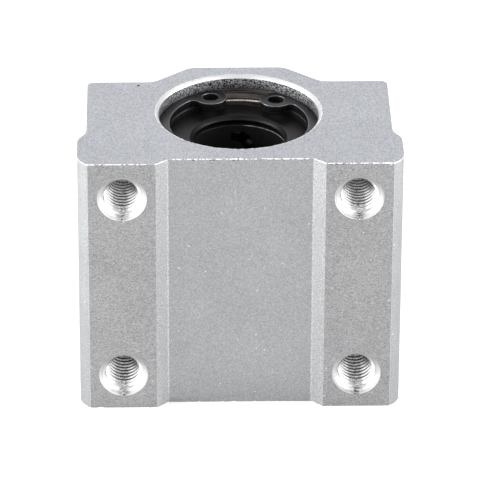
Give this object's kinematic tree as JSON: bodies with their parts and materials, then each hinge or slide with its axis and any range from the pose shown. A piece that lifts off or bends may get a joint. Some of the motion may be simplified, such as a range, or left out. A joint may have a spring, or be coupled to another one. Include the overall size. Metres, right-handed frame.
{
  "type": "linear bearing block",
  "caption": "Closed aluminium pillow block with a sealed recirculating-ball bushing held by circlips, bored for a 12 mm shaft, with tapped mounting holes.",
  "frame": {"origin": "on the shaft axis, halfway along the block", "axes": "+Z along the shaft axis, +X across the block between its mounting lips, -Y out of the mounting face, +Y out of the crown"},
  "size_m": [0.042, 0.028, 0.036],
  "materials": {
    "anodised_aluminium": "blasted and clear anodised, bare where machined",
    "ground_steel": "ground and oiled",
    "ball_steel": "polished",
    "ring_steel": "stamped",
    "spring_steel": "dark phosphated",
    "retainer_plastic": "moulded",
    "seal_rubber": "smooth moulded"
  },
  "bodies": {
    "root": {"housing": "anodised_aluminium", "bearing_sleeve": "ground_steel", "ball_retainer": "retainer_plastic", "end_ring_upper": "ring_steel", "end_ring_lower": "ring_steel", "seal_upper": "seal_rubber", "seal_lower": "seal_rubber", "circlip_upper": "spring_steel", "circlip_lower": "spring_steel", "loaded_balls_1": "ball_steel", "return_balls_1": "ball_steel", "turning_balls_1": "ball_steel", "loaded_balls_2": "ball_steel", "return_balls_2": "ball_steel", "turning_balls_2": "ball_steel", "loaded_balls_3": "ball_steel", "return_balls_3": "ball_steel", "turning_balls_3": "ball_steel", "loaded_balls_4": "ball_steel", "return_balls_4": "ball_steel", "turning_balls_4": "ball_steel"}
  },
  "joints": []
}
